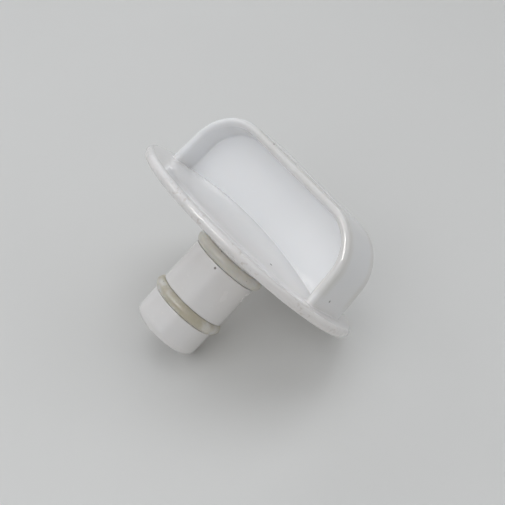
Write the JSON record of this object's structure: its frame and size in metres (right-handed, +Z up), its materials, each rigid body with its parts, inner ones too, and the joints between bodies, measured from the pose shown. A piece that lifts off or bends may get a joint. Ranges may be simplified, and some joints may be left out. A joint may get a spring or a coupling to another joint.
{
  "type": "deck fill cap",
  "caption": "Push-in deck fill cap: round crowned flange with a webbed finger grip on top and a plug stem below, sealed by O-rings in grooves.",
  "frame": {"origin": "centre of the flange's underside, the face that seats on the deck fitting", "axes": "+Z up along the stem's axis, out of the deck; the grip's web lies in the XZ plane, so +X runs along the grip"},
  "size_m": [0.076, 0.076, 0.0608],
  "materials": {
    "white_moulding": "gloss moulded white",
    "seal_rubber": "yellowed translucent rubber"
  },
  "bodies": {
    "root": {"cap_body": "white_moulding", "upper_o_ring": "seal_rubber", "lower_o_ring": "seal_rubber"}
  },
  "joints": []
}
